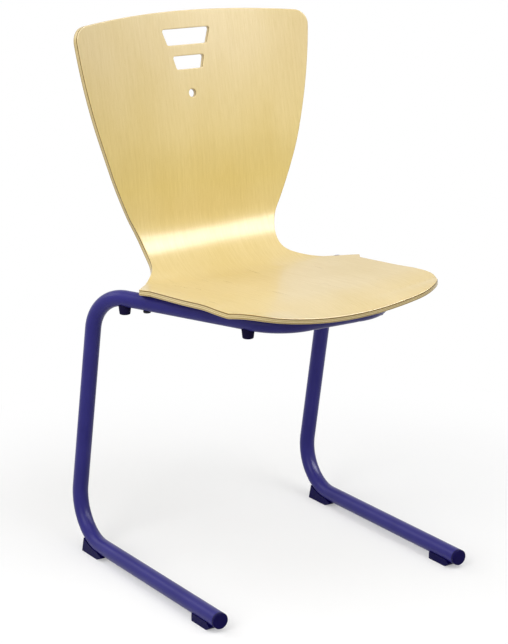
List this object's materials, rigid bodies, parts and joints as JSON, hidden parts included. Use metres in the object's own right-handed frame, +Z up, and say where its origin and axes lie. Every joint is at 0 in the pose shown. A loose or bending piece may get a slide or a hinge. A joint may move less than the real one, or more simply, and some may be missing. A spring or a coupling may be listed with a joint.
{
  "type": "school chair",
  "caption": "School chair: moulded plywood shell for seat and back on a bent round-tube C-frame, with hand slots, floor feet and table buffers.",
  "frame": {"origin": "on the floor, in the middle of the box that the chair fills", "axes": "X across the chair with the sitter's left at +X, -Y is the way the sitter faces, +Z up"},
  "size_m": [0.466, 0.467, 0.8377],
  "materials": {
    "blue_powder_coat": "satin blue-violet powder coat",
    "lacquered_beech": "beech-faced moulded plywood, clear semi-gloss lacquer",
    "navy_plastic": "fine matt moulded plastic",
    "navy_rubber": "matt",
    "black_steel": "black zinc-plated screw",
    "zinc_steel": "zinc-plated insert"
  },
  "bodies": {
    "root": {"frame_tube": "blue_powder_coat", "seat_shell": "lacquered_beech", "foot_rear_left": "navy_plastic", "foot_rear_right": "navy_plastic", "foot_front_left": "navy_plastic", "foot_front_right": "navy_plastic", "end_cap_left": "navy_plastic", "end_cap_right": "navy_plastic", "table_buffer_rear_left": "navy_rubber", "table_buffer_rear_right": "navy_rubber", "table_buffer_front_left": "navy_rubber", "table_buffer_front_right": "navy_rubber", "shell_screws": "black_steel", "shell_inserts": "zinc_steel"}
  },
  "joints": []
}
